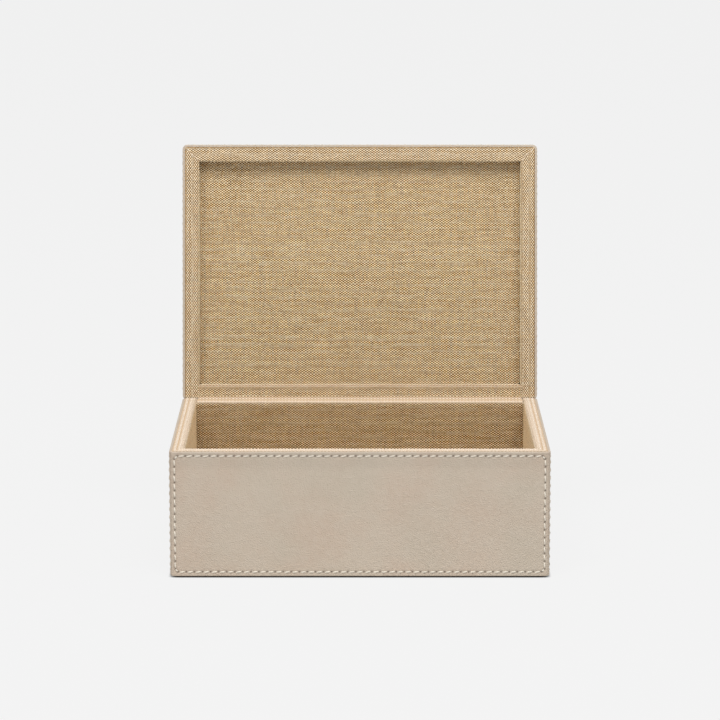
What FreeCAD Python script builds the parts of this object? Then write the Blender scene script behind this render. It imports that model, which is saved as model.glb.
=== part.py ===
import FreeCAD, Part
import math
import os

# A lidded box for papers and keepsakes: fibreboard walls, stitched leather outside, linen inside.
# Millimetres. The origin is the middle of the underside of the felt pad, +Z is up, and the front
# of the box faces -Y. The lid is drawn shut and then turned open about its hinge line.

# Overall sizes of the box
box_width = 250.0
box_depth = 180.0
rim_height = 85.0
lid_height = 15.5
lid_open_angle = 100.0

# Leather skin: its outer upright corners, its cut edges, and how far they stay back from the linen rim
leather = 1.6
corner_radius = 2.4
leather_edge_radius = 0.5
rim_reveal = 0.4

# Linen lining: the rounding of the linen and the eased arris of the board beneath it
linen = 0.9
rim_edge_radius = 2.0
rim_edge_ease = 0.6

# Fibreboard: the front and side walls, the thicker back wall that carries the hinge, the rest of the box
side_board = 7.5
hinge_board = 9.0
lid_rail = 9.0
base_board = 6.0
lid_board = 4.0
wall_boards = {"front": side_board, "back": hinge_board, "left": side_board, "right": side_board}
rail_boards = {"front": lid_rail, "back": lid_rail, "left": lid_rail, "right": lid_rail}

# Felt pad under the base
pad_thickness = 1.0
pad_inset = 1.0

# Linen-wrapped cards on the floor and in the lid, with room round them
card_thickness = 1.2
card_fit = 0.3

# Brads
brad_radius = 0.6
brad_head_radius = 1.1
brad_head_height = 0.8
brad_clearance = 0.05
wall_brad_length = 25.0
base_brad_length = 22.0
lid_brad_length = 11.0
wall_brad_height_shares = (0.25, 0.55, 0.85)
long_side_brad_shares = (-0.32, 0.0, 0.32)
short_side_brad_shares = (-0.25, 0.25)

# Hinge: how much lower the back wall is between the side linings, to leave room for the hinge cloth,
# the gap between the shut rims, the fold of the cloth, and the room round both
hinge_seat_drop = 1.2
rim_gap = 0.5
fold_radius = 0.45
fold_clearance = 0.2
stop_gap = 0.3

# Past this distance a cutting shape is clear of what it cuts
overrun = 5.0

# Places that follow from the sizes
half_width = box_width / 2
half_depth = box_depth / 2
board_x = half_width - leather
board_y = half_depth - leather
wall_top = rim_height - linen
base_top = pad_thickness + base_board
lid_rim = rim_height + rim_gap
lid_top = lid_rim + lid_height
rail_bottom = lid_rim + linen
lid_board_top = lid_top - leather
rail_top = lid_board_top - lid_board
hinge_y = board_y
hinge_z = rim_height + rim_gap / 2

os.makedirs("parts", exist_ok=True)


def block(x0, x1, y0, y1, z0, z1):
    """A plain block between two corners."""
    return Part.makeBox(x1 - x0, y1 - y0, z1 - z0, FreeCAD.Vector(x0, y0, z0))


def prism(points, direction):
    """A flat outline of points pushed along a direction."""
    return Part.Face(Part.makePolygon(points + [points[0]])).extrude(direction)


def opened(shape):
    """A lid piece turned from shut to open about the hinge line."""
    turned = shape.copy()
    turned.rotate(FreeCAD.Vector(0, hinge_y, hinge_z), FreeCAD.Vector(1, 0, 0), -lid_open_angle)
    return turned


def save(name, shape):
    """One file for each named piece."""
    shape.exportStep("parts/" + name + ".step")


# Leather


def rounded_slab(z0, z1):
    """A slab with the outline of the box in plan, its upright corners rounded."""
    slab = block(-half_width, half_width, -half_depth, half_depth, z0, z1)
    uprights = [edge for edge in slab.Edges if edge.tangentAt(edge.FirstParameter).z ** 2 > 0.5]
    return slab.makeFillet(corner_radius, uprights)


def outline_edges(slab, z):
    """The edges of a slab that lie at one height."""
    return [edge for edge in slab.Edges if edge.BoundBox.ZLength == 0 and abs(edge.BoundBox.ZMin - z) < stop_gap]


def leather_panels(z0, z1, rounded_heights):
    """Four panels round the boards, mitred at the corners, with the named edges rounded."""
    slab = rounded_slab(z0, z1)
    rounded = []
    for z in rounded_heights:
        rounded += outline_edges(slab, z)
    slab = slab.makeFillet(leather_edge_radius, rounded)
    ring = slab.cut(block(-board_x, board_x, -board_y, board_y, z0 - overrun, z1 + overrun))
    mitre = leather + overrun
    corners = [(-1, -1), (1, -1), (1, 1), (-1, 1)]
    panels = {}
    for place, side in enumerate(("front", "right", "back", "left")):
        first = corners[place]
        last = corners[(place + 1) % len(corners)]
        plan = [
            FreeCAD.Vector(first[0] * half_width, first[1] * half_depth, z0),
            FreeCAD.Vector(last[0] * half_width, last[1] * half_depth, z0),
            FreeCAD.Vector(last[0] * (half_width - mitre), last[1] * (half_depth - mitre), z0),
            FreeCAD.Vector(first[0] * (half_width - mitre), first[1] * (half_depth - mitre), z0),
        ]
        panels[side] = ring.common(prism(plan, FreeCAD.Vector(0, 0, z1 - z0)))
    return panels


def hinge_bevel(side):
    """What is cut from the leather behind the hinge line, so that body (side -1) and lid (side 1) meet open."""
    half_angle = math.radians(lid_open_angle / 2)
    reach = leather + overrun
    step_back = stop_gap / 2 / math.cos(half_angle)
    drop = reach * math.tan(half_angle) + step_back
    section = [
        FreeCAD.Vector(-half_width - overrun, hinge_y, hinge_z + side * step_back),
        FreeCAD.Vector(-half_width - overrun, hinge_y + reach, hinge_z + side * drop),
        FreeCAD.Vector(-half_width - overrun, hinge_y + reach, hinge_z - side * overrun),
        FreeCAD.Vector(-half_width - overrun, hinge_y, hinge_z - side * overrun),
    ]
    length = box_width + overrun + overrun
    groove = Part.makeCylinder(
        fold_radius + fold_clearance,
        length,
        FreeCAD.Vector(-half_width - overrun, hinge_y, hinge_z),
        FreeCAD.Vector(1, 0, 0),
    )
    return prism(section, FreeCAD.Vector(length, 0, 0)).fuse(groove)


body_leather_top = rim_height - rim_reveal
for side, panel in leather_panels(pad_thickness, body_leather_top, (pad_thickness, body_leather_top)).items():
    save(side + "_leather", panel.cut(hinge_bevel(-1)))

lid_leather_foot = lid_rim + rim_reveal
for side, panel in leather_panels(lid_leather_foot, lid_board_top, (lid_leather_foot,)).items():
    save("lid_" + side + "_leather", opened(panel.cut(hinge_bevel(1))))

top_panel = rounded_slab(lid_board_top, lid_top)
top_panel = top_panel.makeFillet(leather_edge_radius, outline_edges(top_panel, lid_top))
save("lid_top_leather", opened(top_panel))

# Brads


def brad(start, direction, length, clearance):
    """A headed pin driven from a start point, or with a clearance the hole for it."""
    shank = Part.makeCylinder(brad_radius + clearance, length + clearance, start, direction)
    head = Part.makeCylinder(brad_head_radius + clearance, brad_head_height + clearance, start, direction)
    return shank.fuse(head)


def brads(places, length):
    """A group of pins, and the holes that they leave."""
    pins = [brad(start, direction, length, 0) for start, direction in places]
    holes = [brad(start, direction, length, brad_clearance) for start, direction in places]
    return Part.makeCompound(pins), Part.makeCompound(holes)


wall_height = wall_top - pad_thickness
wall_places = []
for x in (-board_x + side_board / 2, board_x - side_board / 2):
    for share in wall_brad_height_shares:
        z = pad_thickness + share * wall_height
        wall_places.append((FreeCAD.Vector(x, -board_y, z), FreeCAD.Vector(0, 1, 0)))
        wall_places.append((FreeCAD.Vector(x, board_y, z), FreeCAD.Vector(0, -1, 0)))
wall_pins, wall_holes = brads(wall_places, wall_brad_length)
save("wall_brads", wall_pins)

base_z = pad_thickness + base_board / 2
base_places = []
for share in long_side_brad_shares:
    base_places.append((FreeCAD.Vector(share * box_width, -board_y, base_z), FreeCAD.Vector(0, 1, 0)))
    base_places.append((FreeCAD.Vector(share * box_width, board_y, base_z), FreeCAD.Vector(0, -1, 0)))
for share in short_side_brad_shares:
    base_places.append((FreeCAD.Vector(-board_x, share * box_depth, base_z), FreeCAD.Vector(1, 0, 0)))
    base_places.append((FreeCAD.Vector(board_x, share * box_depth, base_z), FreeCAD.Vector(-1, 0, 0)))
base_pins, base_holes = brads(base_places, base_brad_length)
save("base_brads", base_pins)

lid_places = []
for share in long_side_brad_shares:
    for y in (-board_y + lid_rail / 2, board_y - lid_rail / 2):
        lid_places.append((FreeCAD.Vector(share * box_width, y, lid_board_top), FreeCAD.Vector(0, 0, -1)))
for share in short_side_brad_shares:
    for x in (-board_x + lid_rail / 2, board_x - lid_rail / 2):
        lid_places.append((FreeCAD.Vector(x, share * box_depth, lid_board_top), FreeCAD.Vector(0, 0, -1)))
lid_pins, lid_holes = brads(lid_places, lid_brad_length)
save("lid_brads", opened(lid_pins))

# Fibreboard


def eased(board, side, inner, z, ease, up):
    """A wall board with the arris beside the linen rim taken off at 45 degrees."""
    along_x = side in ("front", "back")
    sign = -1 if side in ("front", "left") else 1
    if along_x:
        run = FreeCAD.Vector(box_width, 0, 0)
        start = FreeCAD.Vector(-half_width, sign * inner, z)
        inward = FreeCAD.Vector(0, sign * ease, 0)
    else:
        run = FreeCAD.Vector(0, box_depth, 0)
        start = FreeCAD.Vector(sign * inner, -half_depth, z)
        inward = FreeCAD.Vector(sign * ease, 0, 0)
    return board.cut(prism([start, start + inward, start + FreeCAD.Vector(0, 0, -up * ease)], run))


def frame_boards(boards, z0, z1, rim_z, up):
    """Four boards round the box, butted at the corners, all but the back one eased along the linen rim."""
    front_y = board_y - boards["front"]
    back_y = board_y - boards["back"]
    side_x = board_x - boards["left"]
    frame = {
        "front": block(-board_x, board_x, -board_y, -front_y, z0, z1),
        "back": block(-board_x, board_x, back_y, board_y, z0, z1),
        "left": block(-board_x, -side_x, -front_y, back_y, z0, z1),
        "right": block(side_x, board_x, -front_y, back_y, z0, z1),
    }
    for side, inner in (("front", front_y), ("left", side_x), ("right", side_x)):
        frame[side] = eased(frame[side], side, inner, rim_z, rim_edge_ease, up)
    return frame


def hinge_seat():
    """What is cut from the top of the back wall, with its arris eased, for the hinge cloth to lie in."""
    seat_x = board_x - side_board - linen
    seat_z = wall_top - hinge_seat_drop
    back_y = board_y - hinge_board
    section = [
        FreeCAD.Vector(-seat_x, back_y, wall_top),
        FreeCAD.Vector(-seat_x, board_y, wall_top),
        FreeCAD.Vector(-seat_x, board_y, seat_z),
        FreeCAD.Vector(-seat_x, back_y + rim_edge_ease, seat_z),
        FreeCAD.Vector(-seat_x, back_y, seat_z - rim_edge_ease),
    ]
    return prism(section, FreeCAD.Vector(seat_x + seat_x, 0, 0))


walls = frame_boards(wall_boards, pad_thickness, wall_top, wall_top, 1)
walls["back"] = walls["back"].cut(hinge_seat())
for side, board in walls.items():
    save(side + "_board", board.cut(wall_holes).cut(base_holes))

base_x = board_x - side_board
base = block(-base_x, base_x, side_board - board_y, board_y - hinge_board, pad_thickness, base_top)
save("base_board", base.cut(base_holes))

rails = frame_boards(rail_boards, rail_bottom, rail_top, rail_bottom, -1)
rails["back"] = eased(rails["back"], "back", board_y - lid_rail, rail_bottom, rim_edge_ease, -1)
for side, rail in rails.items():
    save("lid_" + side + "_rail", opened(rail.cut(lid_holes)))

lid_panel = block(-board_x, board_x, -board_y, board_y, rail_top, lid_board_top)
save("lid_top_board", opened(lid_panel.cut(lid_holes)))

# Felt pad
pad_x = half_width - pad_inset
pad_y = half_depth - pad_inset
save("base_pad", block(-pad_x, pad_x, -pad_y, pad_y, 0, pad_thickness))

# Linen


def lining_section(rim_z, foot_z, board, outer, place):
    """The linen over one wall: up the inside, round the rim's edge, and across the rim to its outer end."""
    up = 1 if foot_z < rim_z else -1
    cap_width = board + linen
    slant = 1 / math.sqrt(2)
    rim_end = place(outer, rim_z)
    bend_start = place(cap_width - rim_edge_radius, rim_z)
    bend_reach = rim_edge_radius * (1 - slant)
    bend_middle = place(cap_width - bend_reach, rim_z - up * bend_reach)
    bend_end = place(cap_width, rim_z - up * rim_edge_radius)
    wall_foot = place(cap_width, foot_z)
    board_foot = place(board, foot_z)
    ease_low = place(board, rim_z - up * (linen + rim_edge_ease))
    ease_high = place(board - rim_edge_ease, rim_z - up * linen)
    under_end = place(outer, rim_z - up * linen)
    edges = [
        Part.LineSegment(rim_end, bend_start).toShape(),
        Part.Arc(bend_start, bend_middle, bend_end).toShape(),
        Part.LineSegment(bend_end, wall_foot).toShape(),
        Part.LineSegment(wall_foot, board_foot).toShape(),
        Part.LineSegment(board_foot, ease_low).toShape(),
        Part.LineSegment(ease_low, ease_high).toShape(),
        Part.LineSegment(ease_high, under_end).toShape(),
        Part.LineSegment(under_end, rim_end).toShape(),
    ]
    return Part.Face(Part.Wire(edges))


def linings(boards, rim_z, back_rim_z, foot_z, board_z):
    """Linen on four walls: mitred at the front, with the hinge cloth between the two sides at the back."""
    low = min(rim_z, foot_z) - overrun
    height = abs(rim_z - foot_z) + overrun + overrun
    fold_room = fold_radius + fold_clearance
    lining_x = board_x - boards["left"] - linen
    lining_y = board_y - boards["front"] - linen
    front = lining_section(
        rim_z, foot_z, boards["front"], 0,
        lambda inward, z: FreeCAD.Vector(-board_x, -board_y + inward, z),
    ).extrude(FreeCAD.Vector(board_x + board_x, 0, 0))
    back = lining_section(
        back_rim_z, foot_z, boards["back"], fold_room,
        lambda inward, z: FreeCAD.Vector(-lining_x, board_y - inward, z),
    ).extrude(FreeCAD.Vector(lining_x + lining_x, 0, 0))
    pieces = {"back": back}
    front_plan = [
        FreeCAD.Vector(-board_x, -board_y, low),
        FreeCAD.Vector(board_x, -board_y, low),
        FreeCAD.Vector(lining_x, -lining_y, low),
        FreeCAD.Vector(-lining_x, -lining_y, low),
    ]
    front_room = prism(front_plan, FreeCAD.Vector(0, 0, height))
    pieces["front"] = front.common(front_room)
    back_y = board_y - boards["back"]
    for side, sign in (("left", -1), ("right", 1)):
        strip = lining_section(
            rim_z, foot_z, boards[side], 0,
            lambda inward, z: FreeCAD.Vector(sign * (board_x - inward), -board_y, z),
        ).extrude(FreeCAD.Vector(0, board_y + board_y, 0))
        behind = block(-board_x, board_x, back_y, board_y, min(board_z, foot_z), max(board_z, foot_z))
        pieces[side] = strip.cut(front_room).cut(behind)
    return pieces


hinge_rim = rim_height - hinge_seat_drop
for side, piece in linings(wall_boards, rim_height, hinge_rim, base_top, wall_top).items():
    save(side + "_lining", piece)

for side, piece in linings(rail_boards, lid_rim, lid_rim, rail_top, rail_bottom).items():
    save("lid_" + side + "_lining", opened(piece))

fold_x = board_x - lid_rail - linen
fold_start = FreeCAD.Vector(-fold_x, hinge_y, hinge_z)
save("hinge_fold", Part.makeCylinder(fold_radius, fold_x + fold_x, fold_start, FreeCAD.Vector(1, 0, 0)))


def wrapped_card(boards, seat_z, up):
    """A card on its seat, and the linen over its face and down its four edges."""
    room = linen + card_fit
    wrap_x = board_x - boards["left"] - room
    wrap_front = boards["front"] + room - board_y
    wrap_back = board_y - boards["back"] - room
    card_end = seat_z + up * card_thickness
    face_end = card_end + up * linen
    card = block(
        linen - wrap_x, wrap_x - linen, wrap_front + linen, wrap_back - linen,
        min(seat_z, card_end), max(seat_z, card_end),
    )
    wrap = block(-wrap_x, wrap_x, wrap_front, wrap_back, min(seat_z, face_end), max(seat_z, face_end))
    return card, wrap.cut(card)


floor_card, floor_linen = wrapped_card(wall_boards, base_top, 1)
save("floor_card", floor_card)
save("floor_linen", floor_linen)

panel_card, panel_linen = wrapped_card(rail_boards, rail_top, -1)
save("lid_panel_card", opened(panel_card))
save("lid_panel_linen", opened(panel_linen))
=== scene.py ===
import math

import bpy
import numpy as np
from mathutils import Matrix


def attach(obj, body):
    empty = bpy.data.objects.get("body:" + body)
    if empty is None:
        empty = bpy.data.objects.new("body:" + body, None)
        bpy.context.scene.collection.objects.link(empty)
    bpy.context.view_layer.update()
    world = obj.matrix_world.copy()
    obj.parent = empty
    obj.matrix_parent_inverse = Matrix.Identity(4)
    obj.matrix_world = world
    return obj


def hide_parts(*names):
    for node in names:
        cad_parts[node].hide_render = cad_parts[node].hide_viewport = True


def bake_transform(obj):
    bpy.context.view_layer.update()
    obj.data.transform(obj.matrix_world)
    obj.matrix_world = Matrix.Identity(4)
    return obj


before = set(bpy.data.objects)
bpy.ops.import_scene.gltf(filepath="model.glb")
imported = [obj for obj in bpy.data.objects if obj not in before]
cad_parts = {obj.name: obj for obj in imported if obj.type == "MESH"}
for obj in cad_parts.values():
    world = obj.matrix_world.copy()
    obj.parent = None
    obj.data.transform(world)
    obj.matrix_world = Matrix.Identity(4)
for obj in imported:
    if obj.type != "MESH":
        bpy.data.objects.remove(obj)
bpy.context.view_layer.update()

# Felt pad: one sheet of dense dark felt under the base, cut a little smaller than the box all round
# and glued flat. Only its edge shows, as a dark line between the leather and the table; its dark colour is
# partly the felt's own and partly a painted contact shadow under the box's edge.
pad_width = 248.0
pad_depth = 178.0
pad_thickness = 1.0
pad_corner = 6.0
pad_edge_round = 0.3
pad_line_step = 2.0
sharp_angle = 50.0
felt_fibre = 0.6
felt_nap = 0.15
# Dark felt colours, partly the felt's own and partly a painted contact shadow along the base.
felt_and_shadow_dark = (44, 40, 36)
felt_and_shadow_pale = (74, 68, 61)
millimetre = 0.001


def shader_colour(screen_colour):
    """Turns a colour as a screen shows it, 0 to 255, into the light values that a shader takes."""
    parts = [part / 255 for part in screen_colour]
    light = [part / 12.92 if part <= 0.04045 else ((part + 0.055) / 1.055) ** 2.4 for part in parts]
    return (*light, 1.0)


def new_finish(name):
    """An empty finish: the material, its node tree and its shader."""
    finish = bpy.data.materials.new(name)
    finish.use_nodes = True
    tree = finish.node_tree
    tree.nodes.clear()
    output = tree.nodes.new("ShaderNodeOutputMaterial")
    shader = tree.nodes.new("ShaderNodeBsdfPrincipled")
    tree.links.new(shader.outputs["BSDF"], output.inputs["Surface"])
    return finish, tree, shader


def feed(tree, socket, value):
    """Links a node's output to a socket, or sets the socket to a plain value."""
    if isinstance(value, bpy.types.NodeSocket):
        tree.links.new(value, socket)
    else:
        socket.default_value = value


def surface(tree, shader, settings):
    """Sets what the shader is given: its colour, roughness and so on."""
    for label, value in settings.items():
        feed(tree, shader.inputs[label], value)


def node(tree, kind, inputs, **settings):
    """A node of a tree with its settings and what goes into it. Returns its outputs."""
    step = tree.nodes.new(kind)
    for setting, value in settings.items():
        setattr(step, setting, value)
    for socket, value in inputs.items():
        feed(tree, step.inputs[socket], value)
    return step.outputs


def mixed(tree, share, first, second):
    """A colour between two, each a node's output or a colour as a screen shows it."""
    pair = [shader_colour(colour) if isinstance(colour, tuple) else colour for colour in (first, second)]
    return node(tree, "ShaderNodeMix", {0: share, 6: pair[0], 7: pair[1]}, data_type="RGBA")[2]


def object_place(tree):
    """The place on the object, in metres."""
    return node(tree, "ShaderNodeTexCoord", {})["Object"]


def cloudy(tree, where, size, detail=2.0, roughness=0.5):
    """Cloudy tones, with patches about size millimetres across."""
    inputs = {"Vector": where, "Scale": 1 / (size * millimetre), "Detail": detail, "Roughness": roughness}
    return node(tree, "ShaderNodeTexNoise", inputs)["Fac"]


def relief(tree, shader, height, depth):
    """Raises the surface in the shading, by depth millimetres for a height of one."""
    bump = node(tree, "ShaderNodeBump", {"Strength": 1.0, "Distance": depth * millimetre, "Height": height})
    tree.links.new(bump["Normal"], shader.inputs["Normal"])


def rounded_outline(u, v, length, width, corner):
    """Draws the corners of a square-cornered grid in, so that its outline has round corners."""
    middle_u = np.clip(u, corner, length - corner)
    middle_v = np.clip(v, corner, width - corner)
    across_u = (u - middle_u) / corner
    across_v = (v - middle_v) / corner
    x = middle_u + corner * across_u * np.sqrt(1 - across_v**2 / 2)
    y = middle_v + corner * across_v * np.sqrt(1 - across_u**2 / 2)
    return x, y


def from_edges(u, v, length, width):
    """How far a point of a panel is from the nearest edge."""
    return np.minimum(np.minimum(u, length - u), np.minimum(v, width - v))


def edge_drop(distance, radius):
    """How far a rounded edge falls away at a distance from the cut."""
    inside = np.clip(radius - distance, 0, radius)
    return radius - np.sqrt(radius**2 - inside**2)


def placed(name, data):
    """An object for a mesh, lamp or camera, put in the scene."""
    thing = bpy.data.objects.new(name, data)
    bpy.context.scene.collection.objects.link(thing)
    return thing


def new_piece(name, points, faces, finish, smooth=True):
    """A mesh object at the origin from points in millimetres."""
    mesh = bpy.data.meshes.new(name)
    mesh.from_pydata((np.asarray(points) * millimetre).tolist(), [], faces)
    mesh.polygons.foreach_set("use_smooth", [smooth] * len(mesh.polygons))
    mesh.update()
    mesh.materials.append(finish)
    return placed(name, mesh)


def grid_quads(index):
    """The corners of every cell of a grid of point numbers."""
    return np.stack([index[:-1, :-1], index[1:, :-1], index[1:, 1:], index[:-1, 1:]], -1)


def cut_panel(name, lines_u, lines_v, heights, thickness, place, finish):
    """A closed panel cut from sheet: a shaped outer face, cut edges and a plain back.
    place(u, v, height) puts points of the panel where they belong, height being outward."""
    count_u, count_v = len(lines_u), len(lines_v)
    grid_u, grid_v = np.meshgrid(lines_u, lines_v, indexing="ij")
    outer = place(grid_u.ravel(), grid_v.ravel(), heights.ravel())
    index = np.arange(count_u * count_v).reshape(count_u, count_v)
    rim = np.concatenate([index[:-1, 0], index[-1, :-1], index[:0:-1, -1], index[0, :0:-1]])
    back = place(grid_u.ravel()[rim], grid_v.ravel()[rim], np.full(len(rim), -thickness))
    faces = grid_quads(index).reshape(-1, 4).tolist()
    ring = index.size + np.arange(len(rim))
    faces += np.stack([rim, ring, np.roll(ring, -1), np.roll(rim, -1)], -1).tolist()
    bottom = ring[:count_u].tolist()
    right = ring[count_u - 1:count_u + count_v - 1].tolist()
    top = ring[count_u + count_v - 2:2 * count_u + count_v - 2].tolist()[::-1]
    left = ring[2 * count_u + count_v - 3:].tolist()[::-1]
    for column in range(1, count_u - 2):
        faces.append([bottom[column], top[column], top[column + 1], bottom[column + 1]])
    faces.append([bottom[0]] + left[:-1] + [top[0], top[1], bottom[1]])
    faces.append([bottom[-2], top[-2], top[-1]] + right[-2:0:-1] + [bottom[-1]])
    panel = new_piece(name, np.concatenate([outer, back]), faces, finish)
    panel.data.set_sharp_from_angle(angle=math.radians(sharp_angle))
    return panel


felt_and_shadow_finish, tree, shader = new_finish("dark_felt")
fibres = cloudy(tree, object_place(tree), felt_fibre, detail=6.0, roughness=0.7)
tone = mixed(tree, fibres, felt_and_shadow_dark, felt_and_shadow_pale)
surface(tree, shader, {
    "Base Color": tone,
    "Roughness": 0.95,
    "Specular IOR Level": 0.1,
    "Sheen Weight": 0.2,
})
relief(tree, shader, fibres, felt_nap)

pad_edge_lines = np.array([0, 0.1, 0.3, 1.0, 2.0, 3.0, 4.0, 5.0])


def pad_lines(length):
    """Grid lines across the felt, close by its edges."""
    count = round((length - 2 * pad_corner) / pad_line_step)
    inner = np.linspace(pad_corner, length - pad_corner, count)
    return np.concatenate([pad_edge_lines, inner, length - pad_edge_lines[::-1]])


pad_lines_u = pad_lines(pad_width)
pad_lines_v = pad_lines(pad_depth)
pad_u, pad_v = np.meshgrid(pad_lines_u, pad_lines_v, indexing="ij")
pad_from_edge = from_edges(pad_u, pad_v, pad_width, pad_depth)


def under_the_base(u, v, height):
    """The felt faces down: its wide face stands on the table."""
    x, y = rounded_outline(u, v, pad_width, pad_depth, pad_corner)
    return np.stack([x - pad_width / 2, pad_depth / 2 - y, -height], -1)


felt_pad = cut_panel("felt_pad", pad_lines_u, pad_lines_v, -edge_drop(pad_from_edge, pad_edge_round),
                     pad_thickness, under_the_base, felt_and_shadow_finish)
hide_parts("base_pad")
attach(felt_pad, "box")

# Boards: the base, the four walls, the lid's top and its four rails are sawn from fibreboard and glued.
# Leather and linen cover them, so they only show where the covers stop.
board_fibre = 0.7
board_clump = 4.0
board_nap = 0.1
fibre_draw = 0.4
fibre_share = 0.7
board_dark = (150, 119, 85)
board_pale = (183, 152, 115)
board_nodes = ["base_board", "front_board", "back_board", "left_board", "right_board", "lid_top_board",
               "lid_front_rail", "lid_back_rail", "lid_left_rail", "lid_right_rail"]


def sum_of(tree, operation, first, second=0.0, third=0.0):
    """One step of arithmetic on node outputs and numbers."""
    return node(tree, "ShaderNodeMath", {0: first, 1: second, 2: third}, operation=operation)["Value"]


def scaled_place(tree, where, x, y, z):
    """The place drawn out along an axis, for grain and fibres that run one way."""
    return node(tree, "ShaderNodeMapping", {"Vector": where, "Scale": (x, y, z)})["Vector"]


def dress_nodes(names, finish):
    """Gives solids of the frame their finish."""
    for name in names:
        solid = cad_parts[name]
        solid.data.materials.clear()
        solid.data.materials.append(finish)


board_finish, tree, shader = new_finish("fibreboard")
place = object_place(tree)
pressed_flat = scaled_place(tree, place, 1.0, 1.0, fibre_draw)
fibres = cloudy(tree, pressed_flat, board_fibre, detail=5.0, roughness=0.65)
clumps = sum_of(tree, "MULTIPLY", cloudy(tree, place, board_clump, detail=3.0), 1 - fibre_share)
tone = mixed(tree, sum_of(tree, "MULTIPLY_ADD", fibres, fibre_share, clumps), board_dark, board_pale)
surface(tree, shader, {"Base Color": tone, "Roughness": 0.85})
relief(tree, shader, fibres, board_nap)
dress_nodes(board_nodes, board_finish)

# Brads: steel wire nails with small heads, driven through the glued joints of the boards and sunk flush.
# The covers hide all of them.
drawn_line = 0.2
drawn_depth = 0.01
wire_draw = 0.1
steel_dark = (150, 150, 150)
steel_pale = (205, 205, 203)
brad_nodes = ["wall_brads", "base_brads", "lid_brads"]

steel_finish, tree, shader = new_finish("steel_brad")
place = scaled_place(tree, object_place(tree), 1.0, 1.0, wire_draw)
drawn = cloudy(tree, place, drawn_line, detail=3.0)
tone = mixed(tree, drawn, steel_dark, steel_pale)
surface(tree, shader, {
    "Base Color": tone,
    "Roughness": sum_of(tree, "MULTIPLY_ADD", drawn, 0.2, 0.25),
    "Metallic": 1.0,
})
relief(tree, shader, drawn, drawn_depth)
dress_nodes(brad_nodes, steel_finish)

# Wall linings: coarse natural linen glued to the inside of the front and side walls, carried over the
# rim and tucked down behind the edge of the leather. The front corners of the rim are mitred.
board_half_x = 123.4
board_half_y = 88.4
back_board_face = 79.4
rim_height = 85.0
wall_cap = 8.4
linen = 0.8
wall_edge = 1.4
rear_edge = 0.7
wall_tuck = 0.35
wall_tuck_gap = 0.1
wall_lining_bottom = 8.3
wall_step = 4.0
tuck_steps = 5
edge_steps = 7
rim_points = 9
thread_along = 1.16
thread_across = 0.83
thread_wander = 0.3
drift_step = 9
light_yarn_rise = 0.14
brown_yarn_fall = 0.36
least_rise = 0.6
most_rise = 1.4
thread_jitter = 0.1
# Painted highlight, partly wear: how far the body's rims, the lid's rails and the mitres are lifted toward
# pale colours, and how far down from the rim that light fades.
rim_wear_and_highlight = 1.0
light_fade_depth = 2.0
rail_wear_and_highlight = 0.28
mitre_wear_and_highlight = 0.9
# Painted shade on the body's linen walls below the rim, inside the box.
wall_inside_shade = 0.27
mitre_reach = 0.9
mitre_depth = 1.0
mitre_hold = 0.3
# Painted shade in the tuck where the lid's linen runs in behind the leather.
tuck_shade_width = 1.0
tuck_shade = 1.0
tuck_shade_low = 0.4
tuck_shade_high = 1.2
rear_wall = 0.4
rear_gap = 0.05
rear_seed = 50
yarn_share = 0.25
slub_share = 0.45
knuckle_share = 0.4
yarn_spread = 0.3
yarn_gap = 0.15
top_low = -0.02
top_high = 0.15
one_thread = 1 / millimetre
slub_run = 0.06
slub_width = 0.8
slub_low = 0.3
slub_high = 0.7
# How far the brown yarn follows the pale worn colour with its painted highlight.
brown_worn_highlight_share = 0.8
yarn_crown = 0.08
no_area = 1e-6
tiny = 1e-9
linen_light = (255, 242, 212)
linen_light_low = (245, 219, 175)
linen_brown = (70, 38, 0)
linen_brown_high = (149, 104, 0)
# Pale colours for worn linen with a painted highlight.
linen_worn_highlight = (240, 230, 217)
linen_worn_highlight_tan = (211, 183, 152)
linen_worn_highlight_low = (198, 174, 144)
# Painted shade colours: for the linen inside the box, and darker for the tuck behind the leather.
linen_shade = (200, 136, 40)
linen_shade_low = (76, 46, 0)
linen_tuck_shade = (116, 86, 50)
linen_sheen = (255, 228, 185)
sides = {
    "front": ((1.0, 0.0), board_half_x, board_half_y),
    "right": ((0.0, 1.0), board_half_y, board_half_x),
    "back": ((-1.0, 0.0), board_half_x, board_half_y),
    "left": ((0.0, -1.0), board_half_y, board_half_x),
}


def stretched(tree, value, low, high):
    """A soft step from 0 to 1 as a value goes from low to high."""
    inputs = {"Value": value, "From Min": low, "From Max": high}
    return node(tree, "ShaderNodeMapRange", inputs, interpolation_type="SMOOTHSTEP")["Result"]


def stored(tree, name, output):
    """Numbers that a piece's mesh carries."""
    return node(tree, "ShaderNodeAttribute", {}, attribute_name=name)[output]


def thread_dice(tree, number, socket, dimensions):
    """A chance value for each thread or crossing."""
    return node(tree, "ShaderNodeTexWhiteNoise", {socket: number}, noise_dimensions=dimensions)["Value"]


def yarn_tone(tree, yarn, slubs, uneven):
    """How light a yarn is, by the thread, by its slubs and by the crossing."""
    slubs = sum_of(tree, "MULTIPLY_ADD", stretched(tree, slubs, slub_low, slub_high), slub_share, uneven)
    return sum_of(tree, "MULTIPLY_ADD", yarn, yarn_share, slubs)


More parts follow.
